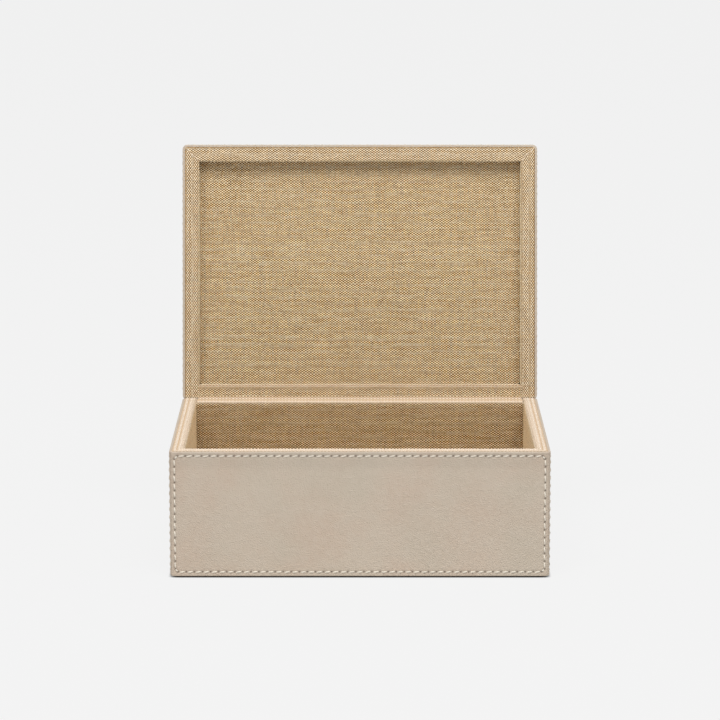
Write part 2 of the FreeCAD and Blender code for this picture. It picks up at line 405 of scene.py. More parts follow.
linen_finish, tree, shader = new_finish("natural_linen")
weave = stored(tree, "threads", "Vector")
split = node(tree, "ShaderNodeSeparateXYZ", {"Vector": weave})
thread_u = sum_of(tree, "ADD", split["X"], 0.5)
thread_v = sum_of(tree, "ADD", split["Y"], 0.5)
wave_u = sum_of(tree, "SINE", sum_of(tree, "MULTIPLY", thread_u, math.pi))
wave_v = sum_of(tree, "SINE", sum_of(tree, "MULTIPLY", thread_v, math.pi))
crossing = sum_of(tree, "MULTIPLY", wave_u, wave_v)
whole_u = sum_of(tree, "FLOOR", thread_u)
whole_v = sum_of(tree, "FLOOR", thread_v)
yarn_light = thread_dice(tree, whole_v, "W", "1D")
yarn_brown = thread_dice(tree, whole_u, "W", "1D")
slubs_light = cloudy(tree, scaled_place(tree, weave, slub_run, slub_width, 1.0), one_thread, roughness=0.6)
slubs_brown = cloudy(tree, scaled_place(tree, weave, slub_width, slub_run, 1.0), one_thread, roughness=0.6)
cell = node(tree, "ShaderNodeCombineXYZ", {"X": whole_u, "Y": whole_v})["Vector"]
uneven = sum_of(tree, "MULTIPLY", thread_dice(tree, cell, "Vector", "2D"), knuckle_share)
light_tone = yarn_tone(tree, yarn_light, slubs_light, uneven)
brown_tone = yarn_tone(tree, yarn_brown, slubs_brown, uneven)
spread = sum_of(tree, "MULTIPLY_ADD", light_tone, yarn_spread, sum_of(tree, "SUBTRACT", crossing, yarn_gap))
light_on_top = stretched(tree, spread, top_low, top_high)
light_yarn = mixed(tree, light_tone, linen_light_low, linen_light)
brown_yarn = mixed(tree, brown_tone, linen_brown, linen_brown_high)
# The third thread number paints light: above 0 the yarns turn toward pale colours, partly wear and partly a
# painted highlight.
wear_and_painted_light = split["Z"]
worn_highlight_yarn = mixed(tree, yarn_light, linen_worn_highlight_tan, linen_worn_highlight)
light_yarn = mixed(tree, wear_and_painted_light, light_yarn, worn_highlight_yarn)
brown_wear_and_light = sum_of(tree, "MULTIPLY", wear_and_painted_light, brown_worn_highlight_share)
brown_yarn = mixed(tree, brown_wear_and_light, brown_yarn, linen_worn_highlight_low)
# Below 0 the third thread number pulls the yarns toward painted shade colours, and in the tuck behind the
# leather toward a darker painted shade.
painted_shade_share = sum_of(tree, "MULTIPLY", wear_and_painted_light, -1.0)
light_yarn = mixed(tree, painted_shade_share, light_yarn, linen_shade)
brown_yarn = mixed(tree, painted_shade_share, brown_yarn, linen_shade_low)
tone = mixed(tree, light_on_top, brown_yarn, light_yarn)
tone = mixed(tree, stretched(tree, painted_shade_share, tuck_shade_low, tuck_shade_high), tone, linen_tuck_shade)
surface(tree, shader, {
    "Base Color": tone,
    "Roughness": 0.9,
    "Specular IOR Level": 0.15,
    "Sheen Weight": 0.03,
    "Sheen Roughness": 0.5,
    "Sheen Tint": shader_colour(linen_sheen),
})
crown = sum_of(tree, "SQRT", sum_of(tree, "ABSOLUTE", crossing))
relief(tree, shader, crown, yarn_crown)


def round_turn(middle, radius, start, stop, steps):
    """Points of a bend in a cloth's section, between two angles in degrees."""
    angles = np.radians(np.linspace(start, stop, steps + 1))
    return np.stack([middle[0] + radius * np.cos(angles), middle[1] + radius * np.sin(angles)], -1)


def lining_section(cap, depth, edge, tuck_round, tuck_gap):
    """Section of a lining from the rim's outer edge, as (inward, up): tuck by the leather, rim of width cap,
    rounded inner edge, wall."""
    tuck = round_turn((tuck_gap + tuck_round, -tuck_round), tuck_round, 180, 90, tuck_steps)
    turn = round_turn((cap - edge, -edge), edge, 90, 0, edge_steps)
    rim = np.linspace(tuck[-1], turn[0], rim_points)[1:-1]
    wall = np.linspace(turn[-1], (cap, -depth), max(2, int(depth / wall_step)))[1:]
    return np.concatenate([tuck, rim, turn, wall])


def run_lengths(line):
    """Distance along a line of points to each of its points."""
    return np.concatenate([[0], np.cumsum(np.linalg.norm(np.diff(line, axis=0), axis=1))])


def along_section(section, distance):
    """Points of a section at distances along it."""
    reach = run_lengths(section)
    return np.interp(distance, reach, section[:, 0]), np.interp(distance, reach, section[:, 1])


def thread_drift(dice, rows, columns):
    """A slow wander of the threads, from -1 to 1, that dies out before the edges and mitres of the cut."""
    coarse = dice.uniform(-1, 1, (rows // drift_step + 3, columns // drift_step + 3))
    down, across = np.arange(rows) / drift_step, np.arange(columns) / drift_step
    row, column = down.astype(int), across.astype(int)
    share_down, share_across = (down - row)[:, None], (across - column)[None, :]
    left, right = coarse[:, column], coarse[:, column + 1]
    blended = left * (1 - share_across) + right * share_across
    near, far = blended[row], blended[row + 1]
    to_edge = from_edges(*np.indices((rows, columns)), rows - 1, columns - 1)
    inside = np.clip(to_edge / drift_step - 1, 0, 1)
    return (near * (1 - share_down) + far * share_down) * inside


def thread_grid(length, width, seed):
    """The crossings of the threads on a cut of linen: places along and across it, and the two thread numbers
    of each with a third number for painted light, up to 1 where the cloth is worn pale with a painted
    highlight and down to -1 for painted shade inside the box and in the tuck behind the leather."""
    rows = max(2, round(length / thread_along)) + 1
    columns = max(2, round(width / thread_across)) + 1
    dice = np.random.default_rng(seed)
    number_u, number_v = np.indices((rows, columns))
    u = number_u * (length / (rows - 1)) + thread_wander * thread_drift(dice, rows, columns)
    v = number_v * (width / (columns - 1)) + thread_wander * thread_drift(dice, rows, columns)
    u[1:-1] += thread_jitter * dice.uniform(-1, 1, (rows - 2, 1))
    v[:, 1:-1] += thread_jitter * dice.uniform(-1, 1, (1, columns - 2))
    numbers = np.stack([number_u, number_v, np.zeros(u.shape)], -1)
    return u, v, numbers


def woven_sheet(points, numbers, free, facing, seed):
    """Lets the light yarn stand proud at its crossings and the brown yarn lie low, where the cloth is free.
    Returns points, thread numbers and faces, with the points that a mitre draws together made one."""
    normal = np.cross(np.gradient(points, axis=0), np.gradient(points, axis=1)) * facing
    size = np.linalg.norm(normal, axis=-1, keepdims=True)
    normal = np.where(size > no_area, normal / np.maximum(size, no_area), 0)
    light = np.indices(points.shape[:2]).sum(0) % 2 == 0
    rise = np.where(light, light_yarn_rise, -brown_yarn_fall) * free
    rise = rise * np.random.default_rng(seed).uniform(least_rise, most_rise, light.shape)
    points = (points + normal * rise[..., None]).reshape(-1, 3)
    corners = grid_quads(np.arange(light.size).reshape(light.shape))
    quads = np.where(light[:-1, :-1, None], np.roll(corners, 1, -1), corners).reshape(-1, 4)
    if facing < 0:
        quads = np.roll(quads[:, ::-1], 1, -1)
    _, kept, joined = np.unique(np.round(points, 3), axis=0, return_index=True, return_inverse=True)
    faces = [[p for k, p in enumerate(quad) if p != quad[k - 1]] for quad in joined.ravel()[quads].tolist()]
    return points[kept], numbers.reshape(-1, 3)[kept], [face for face in faces if len(set(face)) > 2]


def cloth_piece(name, sheets):
    """A linen piece of one or more woven sheets, with its thread numbers and its thickness."""
    faces, first = [], 0
    for points, _, sheet_faces in sheets:
        faces += [[first + point for point in face] for face in sheet_faces]
        first += len(points)
    cloth = new_piece(name, np.concatenate([sheet[0] for sheet in sheets]), faces, linen_finish, smooth=False)
    numbers = np.concatenate([sheet[1] for sheet in sheets]).astype(np.float32)
    cloth.data.attributes.new("threads", "FLOAT_VECTOR", "POINT").data.foreach_set("vector", numbers.ravel())
    body = cloth.modifiers.new("thickness", "SOLIDIFY")
    body.thickness = linen * millimetre
    body.offset = -1.0
    return cloth


def lining_strip(side, section, low, high, mitred, level, upward, seed):
    """A woven lining along one side from low to high, its ends cut to a mitre where mitred says so.
    upward is 1 on the body and -1 on the lid."""
    (along_x, along_y), near, far = sides[side]
    length, width = high - low, run_lengths(section)[-1]
    u, v, numbers = thread_grid(length, width, seed)
    inward, up = along_section(section, v)
    along = low + u
    lowest = inward - near if mitred[0] else low
    highest = near - inward if mitred[1] else high
    cut = np.clip(along, lowest, highest)
    numbers[..., 0] += (cut - along) / thread_along
    to_low = cut - lowest if mitred[0] else math.inf
    to_high = highest - cut if mitred[1] else math.inf
    # Painted light: a painted highlight with some wear along the mitres and on the rim; on the body, painted
    # shade on the walls below the rim inside the box; on the lid, painted shade in the tuck behind the
    # leather.
    at_mitre = mitre_wear_and_highlight * np.exp(-np.minimum(to_low, to_high) / mitre_reach) * (up > -mitre_depth)
    on_rim = np.clip(1 + up / light_fade_depth, 0, 1)
    if upward > 0:
        numbers[..., 2] = np.maximum(at_mitre, rim_wear_and_highlight * on_rim) - wall_inside_shade * (on_rim == 0)
    else:
        tuck_shade_share = tuck_shade * np.clip(1 - v / tuck_shade_width, 0, 1)
        numbers[..., 2] = np.maximum(at_mitre, rail_wear_and_highlight * on_rim) - tuck_shade_share
    free = (np.abs(cut - along) < tiny) & (along > lowest + mitre_hold) & (along < highest - mitre_hold)
    free[:, 0] = free[:, -1] = False
    x = along_x * cut + along_y * (far - inward)
    y = along_y * cut - along_x * (far - inward)
    points = np.stack([x, y, level + upward * up], -1)
    return woven_sheet(points, numbers, free, upward, seed)


def side_lining(side, cap, edge, tuck, gap, level, upward, depth, seed):
    """The woven strips of the front's or of one side's lining, and the cut's length and width in metres.
    The front one is mitred at both ends, the side ones at the front, and these go back over the rear rim."""
    near = sides[side][1]
    section = lining_section(cap, depth, edge, tuck, gap)
    rear = lining_section(cap, rear_edge + rear_wall, rear_edge, tuck, gap)
    size = (2 * near * millimetre, float(run_lengths(section)[-1]) * millimetre)
    face, end = back_board_face, near - rear_gap
    cuts = {
        "front": [(section, -near, near, (True, True), 0)],
        "right": [(section, -near, face, (True, False), 0), (rear, face, end, (False, False), rear_seed)],
        "left": [(section, -face, near, (False, True), 0), (rear, -end, -face, (False, False), rear_seed)],
    }
    return [lining_strip(side, *cut[:4], level, upward, seed + cut[4]) for cut in cuts[side]], size


for seed, side in enumerate(("front", "left", "right")):
    strips, cut_size = side_lining(side, wall_cap, wall_edge, wall_tuck, wall_tuck_gap, rim_height, 1.0,
                                   rim_height - wall_lining_bottom, seed)
    lining = cloth_piece(side + "_wall_linen", strips)
    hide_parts(side + "_lining")
    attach(lining, "box")

# Floor panel: a stiff card wrapped in the same linen and laid on the base board.
# The card is a solid of the frame, the linen goes over its face and down round its edges.
floor_half_x = 114.9
floor_half_y = 79.15
floor_middle_y = -0.75
panel_round = 0.35
panel_skirt = 1.0
panel_corner = 1.6
floor_top = 9.1
floor_seed = 11
card_pulp = 1.2
card_nap = 0.05
card_dark = (120, 114, 106)
card_pale = (158, 152, 142)

card_finish, tree, shader = new_finish("lining_card")
pulp = cloudy(tree, object_place(tree), card_pulp, detail=6.0, roughness=0.7)
tone = mixed(tree, pulp, card_dark, card_pale)
surface(tree, shader, {"Base Color": tone, "Roughness": 0.9})
relief(tree, shader, pulp, card_nap)
dress_nodes(["floor_card", "lid_panel_card"], card_finish)


def wrapped_panel(half_x, half_y, seed, facing):
    """The woven linen on a card, its face at height 0 and turned up or down, and the cut's size in metres."""
    bend = panel_round * math.pi / 2
    wrap = bend + panel_skirt
    spare = wrap - panel_round
    length = 2 * (half_x + spare)
    width = 2 * (half_y + spare)
    corner = panel_corner + wrap
    u, v, numbers = thread_grid(length, width, seed)
    x, y = rounded_outline(u, v, length, width, corner)
    middle_x = np.clip(x, corner, length - corner)
    middle_y = np.clip(y, corner, width - corner)
    reach = np.hypot(x - middle_x, y - middle_y)
    safe = np.maximum(reach, tiny)
    beyond = np.maximum(reach - (corner - wrap), 0)
    angle = np.minimum(beyond / panel_round, math.pi / 2)
    drop = panel_round * (1 - np.cos(angle)) + np.maximum(beyond - bend, 0)
    new_reach = np.minimum(reach, corner - wrap) + panel_round * np.sin(angle)
    x_in = middle_x + (x - middle_x) / safe * new_reach - length / 2
    y_in = middle_y + (y - middle_y) / safe * new_reach - width / 2
    sheet = woven_sheet(np.stack([x_in, y_in, -drop * facing], -1), numbers, beyond == 0, facing, seed)
    return sheet, (length * millimetre, width * millimetre)


(points, numbers, faces), cut_size = wrapped_panel(floor_half_x, floor_half_y, floor_seed, 1)
floor_linen = cloth_piece("floor_panel_linen", [(points + (0, floor_middle_y, floor_top), numbers, faces)])
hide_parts("floor_linen")
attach(floor_linen, "box")

# Leather skins of the body: four panels of fine-grained taupe leather glued to the walls. Each is sewn
# round near its edges before it goes on, and the cut edges of two neighbours meet at the round corners.
half_width = 125.0
half_depth = 90.0
leather = 1.6
corner_round = 3.2
leather_edge_round = 0.5
seam_edge_round = 0.3
skin_bottom = 1.0
skin_top = 84.6
hinge_y = board_half_y
half_rim_gap = 0.25
hinge_z = rim_height + half_rim_gap
bevel_angle = 50
bevel_slope = math.tan(math.radians(bevel_angle))
bevel_clearance = 0.233
hinge_hair = 1e-6
bevel_fade = 8
lid_bevel_fade = 6
stitch_pitch = 5.3
stitch_inset = 2.8
corner_cut = 1.9
groove_depth = 0.16
groove_half_width = 0.75
hole_depth = 0.4
hole_radius = 0.68
pucker_depth = 0.07
pucker_length = 1.7
pucker_width = 2.6
swell_height = 0.012
swell_waves = ((5.1, 1.7), (7.9, -1.3), (3.7, 2.9))
swell_margin = 3
swell_fade = 6
skin_steps = 8
thread_sink = 0.12
# Painted shade on the leather: dark in the needle holes, a little along the thread's groove, and a band along
# the top edge.
hole_shade = 0.85
hole_edge = 1.5
groove_shade = 0.1
top_edge_shade = 0.065
top_shade_depth = 13.0
top_shade_fade = 4
pebble = 0.8
pore = 0.45
crease = 2.6
blotch = 26.0
cool_patch = 41.0
cool_most = 0.6
worn_most = 0.35
crease_share = 1.1
pore_share = 0.5
grain_depth = 0.3
far_off = 1e9
leather_taupe = (192, 178, 161)
leather_warm = (191, 173, 155)
leather_cool = (186, 175, 158)
leather_worn = (199, 187, 172)
# Colour of the painted shade in the needle holes, the groove and along the top edge.
leather_hole_shade = (60, 48, 36)

leather_finish, tree, shader = new_finish("taupe_leather")
place = object_place(tree)
inputs = {"Vector": place, "Scale": 1 / (pebble * millimetre), "Smoothness": 0.35}
pebbles = node(tree, "ShaderNodeTexVoronoi", inputs, feature="SMOOTH_F1")["Distance"]
pores = cloudy(tree, place, pore, detail=3.0, roughness=0.6)
creases = cloudy(tree, place, crease, detail=4.0, roughness=0.6)
blotches = cloudy(tree, place, blotch)
cool_patches = cloudy(tree, scaled_place(tree, place, -1.0, 1.0, -1.0), cool_patch, detail=1.0)
warm_share = stretched(tree, blotches, 0.3, 0.7)
cool_share = sum_of(tree, "MULTIPLY", stretched(tree, cool_patches, 0.4, 0.75), cool_most)
worn_share = sum_of(tree, "MULTIPLY", stretched(tree, creases, 0.35, 0.75), worn_most)
tone = mixed(tree, warm_share, leather_warm, leather_taupe)
tone = mixed(tree, cool_share, tone, leather_cool)
tone = mixed(tree, worn_share, tone, leather_worn)
# Painted shade from the mesh: needle holes, the thread's groove and the band along the top edge.
tone = mixed(tree, stored(tree, "painted_shade", "Fac"), tone, leather_hole_shade)
surface(tree, shader, {
    "Base Color": tone,
    "Roughness": sum_of(tree, "MULTIPLY_ADD", creases, 0.16, 0.5),
    "Specular IOR Level": 0.35,
})
grain = sum_of(tree, "MULTIPLY_ADD", creases, crease_share, pebbles)
relief(tree, shader, sum_of(tree, "MULTIPLY_ADD", pores, pore_share, grain), grain_depth)

edge_lines = np.array([0, 0.1, 0.25, 0.5, 1.0, 1.6, 2.2, 2.8, 3.4, 4.0])


def panel_lines(length, steps):
    """Grid lines across a panel, close by its edges and then so many to a stitch, and its needle holes."""
    first = stitch_inset + corner_cut
    count = max(1, round((length - 2 * first) / stitch_pitch))
    inner = np.linspace(first, length - first, steps * count + 1)
    return np.concatenate([edge_lines, inner, length - edge_lines[::-1]]), inner[::steps]


def sewn_row(length, width, holes_u, holes_v):
    """Needle holes round a panel in order, one row near each edge with its corners cut."""
    far_u, far_v = length - stitch_inset, width - stitch_inset
    bottom = [(u, stitch_inset) for u in holes_u]
    right = [(far_u, v) for v in holes_v]
    top = [(u, far_v) for u in holes_u[::-1]]
    left = [(stitch_inset, v) for v in holes_v[::-1]]
    return np.array(bottom + right + top + left)


def skin_panel(name, length, width, place, steps, seam_round, seed):
    """A sewn leather panel and its row of needle holes. The thread's groove, the holes and the puckers
    that the thread pulls are sunk into its face, and painted shade darkens the holes, the groove and a band
    along the top edge."""
    lines_u, holes_u = panel_lines(length, steps)
    lines_v, holes_v = panel_lines(width, steps)
    u, v = np.meshgrid(lines_u, lines_v, indexing="ij")
    holes = sewn_row(length, width, holes_u, holes_v)
    to_hole = to_row = np.full(u.shape, far_off)
    for (u1, v1), (u2, v2) in zip(holes, np.roll(holes, -1, axis=0)):
        step_u, step_v = u2 - u1, v2 - v1
        to_hole = np.minimum(to_hole, (u - u1) ** 2 + (v - v1) ** 2)
        share = ((u - u1) * step_u + (v - v1) * step_v) / (step_u**2 + step_v**2)
        share = np.clip(share, 0, 1)
        to_row = np.minimum(to_row, (u - u1 - share * step_u) ** 2 + (v - v1 - share * step_v) ** 2)
    from_end = np.minimum(u, length - u) * leather_edge_round / seam_round
    from_edge = np.minimum(v, width - v)
    heights = -edge_drop(np.minimum(from_end, from_edge), leather_edge_round)
    groove = np.exp(-to_row / groove_half_width**2)
    pit = np.exp(-to_hole / hole_radius**2)
    pucker = np.exp(-to_hole / pucker_length**2) * np.exp(-to_row / pucker_width**2)
    swell = sum(np.sin(u / wave + v / (wave * turn) + seed * turn) for wave, turn in swell_waves)
    clear = np.clip((from_edges(u, v, length, width) - swell_margin) / swell_fade, 0, 1)
    heights += -groove_depth * groove - hole_depth * pit - pucker_depth * pucker
    heights += swell_height * swell * clear
    panel = cut_panel(name, lines_u, lines_v, heights, leather, place, leather_finish)
    # Painted shade: the needle holes, the groove and a band along the top edge are darkened toward the hole
    # colour.
    shade_marks = np.zeros(len(panel.data.vertices), np.float32)
    top_shade = top_edge_shade * np.clip((top_shade_depth - width + v) / top_shade_fade, 0, 1)
    top_shade = top_shade * (width - v > leather_edge_round)
    shade_marks[:u.size] = np.clip(hole_shade * pit**hole_edge + groove_shade * groove + top_shade, 0, 1).ravel()
    panel.data.attributes.new("painted_shade", "FLOAT", "POINT").data.foreach_set("value", shade_marks)
    return panel, holes


def wall_skin_place(side, low, high, on_lid):
    """Where a wall's leather goes: flat on the wall, half way round the corners, bevelled by the hinge."""
    along_x, along_y = sides[side][0]
    flat_half, far = (half_width, half_depth) if along_x else (half_depth, half_width)
    flat_half -= corner_round
    bend = corner_round * math.pi / 4
    total = 2 * (flat_half + bend)

    def place(u, v, height):
        turn = (np.clip(bend - u, 0, bend) - np.clip(u - (total - bend), 0, bend)) / corner_round
        radius = corner_round + height
        along = np.clip(u - bend - flat_half, -flat_half, flat_half) - radius * np.sin(turn)
        out = far - corner_round + radius * np.cos(turn)
        x = along_x * along + along_y * out
        y = along_y * along - along_x * out
        behind = np.maximum(y - hinge_y, 0) * bevel_slope
        if on_lid:
            lift = np.maximum(hinge_z + bevel_clearance + behind - low, 0) * (y > hinge_y - hinge_hair)
            z = low + v + lift * np.clip(1 - v / lid_bevel_fade, 0, 1)
        else:
            fall = np.maximum(high - (hinge_z - bevel_clearance - behind), 0) * (y > hinge_y - hinge_hair)
            z = low + v - fall * np.clip(1 - (high - low - v) / bevel_fade, 0, 1)
        return np.stack([x, y, z], -1)

    return place, total, high - low


def outward(side):
    """The way a wall faces."""
    along_x, along_y = sides[side][0]
    return (along_y, -along_x, 0.0)


def needle_row(place, holes, way):
    """A row of needle holes on a skin, as deep as its thread lies, and the way the skin faces."""
    return place(holes[:, 0], holes[:, 1], np.full(len(holes), -thread_sink)), way


box_rows = []
for seed, side in enumerate(sides):
    skin_place, length, width = wall_skin_place(side, skin_bottom, skin_top, False)
    skin, holes = skin_panel(side + "_skin", length, width, skin_place, skin_steps, seam_edge_round, seed)
    box_rows.append(needle_row(skin_place, holes, outward(side)))
    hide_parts(side + "_leather")
    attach(skin, "box")

# Leather skins of the lid: one panel on the top and four narrow strips round its edge, sewn like the
# body's. They are laid out with the lid shut and then swung open with it.
lid_rim = 85.5
lid_skin_bottom = 85.9
lid_strip_top = 99.4
lid_open_angle = math.radians(100)
top_steps = 7
top_seed = 5
strip_seed = 6


def swung_open(points):
    """Swings points of the shut lid open about the hinge line."""
    y = points[..., 1] - hinge_y
    z = points[..., 2] - hinge_z
    cosine, sine = math.cos(lid_open_angle), math.sin(lid_open_angle)
    return np.stack([points[..., 0], hinge_y + y * cosine + z * sine, hinge_z - y * sine + z * cosine], -1)


def swung_direction(direction):
    """Swings a direction open with the lid."""
    hinge_line = (0, hinge_y, hinge_z)
    return tuple(swung_open(np.array(direction) + hinge_line) - hinge_line)


def on_open_lid(place):
    """A way to place points on the open lid, from one for the shut lid."""
    return lambda u, v, height: swung_open(place(u, v, height))


def lid_top_place(u, v, height):
    """The top skin lies on the top board and out over the edge strips."""
    x, y = rounded_outline(u, v, 2 * half_width, 2 * half_depth, corner_round)
    return np.stack([x - half_width, y - half_depth, lid_strip_top + leather + height], -1)


lid_rows = []
skin_place = on_open_lid(lid_top_place)
skin, holes = skin_panel("lid_top_skin", 2 * half_width, 2 * half_depth, skin_place, top_steps,
                         leather_edge_round, top_seed)
lid_rows.append(needle_row(skin_place, holes, swung_direction((0, 0, 1))))
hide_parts("lid_top_leather")
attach(skin, "lid")
for seed, side in enumerate(sides):
    shut_place, length, width = wall_skin_place(side, lid_skin_bottom, lid_strip_top, True)
    skin_place = on_open_lid(shut_place)
    skin, holes = skin_panel("lid_" + side + "_skin", length, width, skin_place, skin_steps,
                             seam_edge_round, strip_seed + seed)
    lid_rows.append(needle_row(skin_place, holes, swung_direction(outward(side))))
    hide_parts("lid_" + side + "_leather")
    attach(skin, "lid")

# Stitches: cream waxed thread sewn through each leather panel in a row near its edges. Every stitch is a
# short arch between two needle holes, lying at a slight slant.
thread_radius = 0.46
stitch_rise = 0.12
stitch_dip = 0.9
stitch_slant = 9.0
slant_spread = 0.06
slant_seed = 3
stitch_share = 0.39
stitch_steps = 7
thread_sides = 6
thread_turns = 4.0
thread_ply = 0.08
thread_cream = (246, 240, 228)
thread_shade = (208, 197, 178)

thread_finish, tree, shader = new_finish("cream_thread")
turns = sum_of(tree, "MULTIPLY_ADD", stored(tree, "run", "Fac"), thread_turns, stored(tree, "around", "Fac"))
twist = sum_of(tree, "SINE", sum_of(tree, "MULTIPLY", turns, 4 * math.pi))
ply = sum_of(tree, "MULTIPLY_ADD", twist, 0.5, 0.5)
tone = mixed(tree, ply, thread_shade, thread_cream)
surface(tree, shader, {"Base Color": tone, "Roughness": 0.6, "Sheen Weight": 0.2})
relief(tree, shader, ply, thread_ply)

sewing = bpy.data.node_groups.new("sewn_stitches", "GeometryNodeTree")
sewing.interface.new_socket("Rows", in_out="INPUT", socket_type="NodeSocketGeometry")
sewing.interface.new_socket("Stitches", in_out="OUTPUT", socket_type="NodeSocketGeometry")
stitch_sizes = {}
for label, kind, value in (
    ("Stitch length", "NodeSocketFloat", stitch_pitch * millimetre),
    ("Thread radius", "NodeSocketFloat", thread_radius * millimetre),
    ("Rise", "NodeSocketFloat", stitch_rise * millimetre),
    ("Dip", "NodeSocketFloat", stitch_dip * millimetre),
    ("Slant", "NodeSocketFloat", math.radians(stitch_slant)),
    ("Seed", "NodeSocketInt", slant_seed),
):
    socket = sewing.interface.new_socket(label, in_out="INPUT", socket_type=kind)
    stitch_sizes[socket.identifier] = value

given = node(sewing, "NodeGroupInput", {})
half = sum_of(sewing, "MULTIPLY", given["Stitch length"], stitch_share)
back_half = sum_of(sewing, "MULTIPLY", half, -1.0)
below = sum_of(sewing, "MULTIPLY", given["Dip"], -1.0)
over = sum_of(sewing, "MULTIPLY_ADD", given["Rise"], 2.0, given["Dip"])
start = node(sewing, "ShaderNodeCombineXYZ", {"X": back_half, "Z": below})[0]
stop = node(sewing, "ShaderNodeCombineXYZ", {"X": half, "Z": below})[0]
peak = node(sewing, "ShaderNodeCombineXYZ", {"Z": over})[0]
arch = node(sewing, "GeometryNodeCurveQuadraticBezier",
            {"Resolution": stitch_steps, "Start": start, "Middle": peak, "End": stop})
circle = node(sewing, "GeometryNodeCurvePrimitiveCircle",
              {"Resolution": thread_sides, "Radius": given["Thread radius"]})
marked = []
for shape, label in ((arch["Curve"], "run"), (circle["Curve"], "around")):
    measure = node(sewing, "GeometryNodeSplineParameter", {})
    mark = node(sewing, "GeometryNodeStoreNamedAttribute",
                {"Name": label, "Geometry": shape, "Value": measure["Factor"]},
                data_type="FLOAT", domain="POINT")
    marked.append(mark["Geometry"])
stitch = node(sewing, "GeometryNodeCurveToMesh",
              {"Fill Caps": True, "Curve": marked[0], "Profile Curve": marked[1]})
smooth = node(sewing, "GeometryNodeSetShadeSmooth", {"Geometry": stitch["Mesh"]})
spots = node(sewing, "GeometryNodeMeshToPoints", {"Mesh": given["Rows"]}, mode="EDGES")
read = "GeometryNodeInputNamedAttribute"
along = node(sewing, read, {"Name": "along"}, data_type="FLOAT_VECTOR")["Attribute"]
facing = node(sewing, read, {"Name": "facing"}, data_type="FLOAT_VECTOR")["Attribute"]
span = node(sewing, read, {"Name": "span"}, data_type="FLOAT")["Attribute"]
lie = node(sewing, "FunctionNodeAxesToRotation", {"Primary Axis": facing, "Secondary Axis": along},
           primary_axis="Z", secondary_axis="X")[0]
chance = node(sewing, "FunctionNodeRandomValue",
              {2: -slant_spread, 3: slant_spread, "Seed": given["Seed"]}, data_type="FLOAT")[1]
lean = sum_of(sewing, "ADD", given["Slant"], chance)
spin = node(sewing, "FunctionNodeAxisAngleToRotation", {"Axis": (0.0, 0.0, 1.0), "Angle": lean})[0]
slanted = node(sewing, "FunctionNodeRotateRotation", {"Rotation": lie, "Rotate By": spin},
               rotation_space="LOCAL")[0]
fit = sum_of(sewing, "DIVIDE", span, given["Stitch length"])
size = node(sewing, "ShaderNodeCombineXYZ", {"X": fit, "Y": 1.0, "Z": 1.0})[0]
lay = node(sewing, "GeometryNodeInstanceOnPoints", {
    "Points": spots["Points"], "Instance": smooth["Geometry"], "Rotation": slanted, "Scale": size})
real = node(sewing, "GeometryNodeRealizeInstances", {"Geometry": lay["Instances"]})
dressed = node(sewing, "GeometryNodeSetMaterial", {"Material": thread_finish, "Geometry": real["Geometry"]})
node(sewing, "NodeGroupOutput", {"Stitches": dressed["Geometry"]})


def sewn_stitches(name, rows):
    """One mesh with every stitch of these rows of needle holes."""
    points, edges, along, facing, span = [], [], [], [], []
    for holes, way in rows:
        first = len(points)
        points += (holes * millimetre).tolist()
        for start in range(len(holes)):
            stop = (start + 1) % len(holes)
            edges.append((first + start, first + stop))
            step = (holes[stop] - holes[start]) * millimetre
            along.append(step / np.linalg.norm(step))
            facing.append(way)
            span.append(np.linalg.norm(step))
    mesh = bpy.data.meshes.new(name)
    mesh.from_pydata(points, edges, [])
    for label, values in (("along", along), ("facing", facing)):
        values = np.ravel(values).astype(np.float32)
        mesh.attributes.new(label, "FLOAT_VECTOR", "EDGE").data.foreach_set("vector", values)
    mesh.attributes.new("span", "FLOAT", "EDGE").data.foreach_set("value", np.array(span, np.float32))
    stitches = placed(name, mesh)
    needle = stitches.modifiers.new("sewing", "NODES")
    needle.node_group = sewing
    for identifier, value in stitch_sizes.items():
        needle[identifier] = value
    bpy.context.view_layer.update()
    sewn = bpy.data.meshes.new_from_object(stitches.evaluated_get(bpy.context.evaluated_depsgraph_get()))
    stitches.modifiers.remove(needle)
    stitches.data = sewn
    return stitches


for name, rows, body in (("box_stitches", box_rows, "box"), ("lid_stitches", lid_rows, "lid")):
    stitches = sewn_stitches(name, rows)
    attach(stitches, body)

# Lid linings: the same linen over the lid's front and side rails, down into the shallow recess,
# tucked behind the leather at the outer edge and mitred at the two front corners.
rail_cap = 9.9
rail_edge = 0.9
rail_tuck = 0.4
rail_tuck_gap = 0.2
lid_panel_face = 93.3
behind_panel = 0.9
lid_lining_depth = lid_panel_face + behind_panel - lid_rim
lid_lining_seed = 20

for seed, side in enumerate(("front", "left", "right")):
    strips, cut_size = side_lining(side, rail_cap, rail_edge, rail_tuck, rail_tuck_gap, lid_rim, -1.0,
                                   lid_lining_depth, lid_lining_seed + seed)
    strips = [(swung_open(points), numbers, faces) for points, numbers, faces in strips]
    lining = cloth_piece("lid_" + side + "_linen", strips)
    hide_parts("lid_" + side + "_lining")
    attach(lining, "lid")

# Lid panel: a card wrapped in linen like the one on the floor, glued into the lid's recess.
# The card is a solid of the frame, and the linen's face is the bottom of the recess.
panel_half_x = 113.4
panel_half_y = 78.75
panel_middle_y = 0.35
panel_seed = 12

(points, numbers, faces), cut_size = wrapped_panel(panel_half_x, panel_half_y, panel_seed, -1)
points = swung_open(points + (0, panel_middle_y, lid_panel_face))
lid_panel = cloth_piece("lid_panel_cloth", [(points, numbers, faces)])
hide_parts("lid_panel_linen")
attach(lid_panel, "lid")

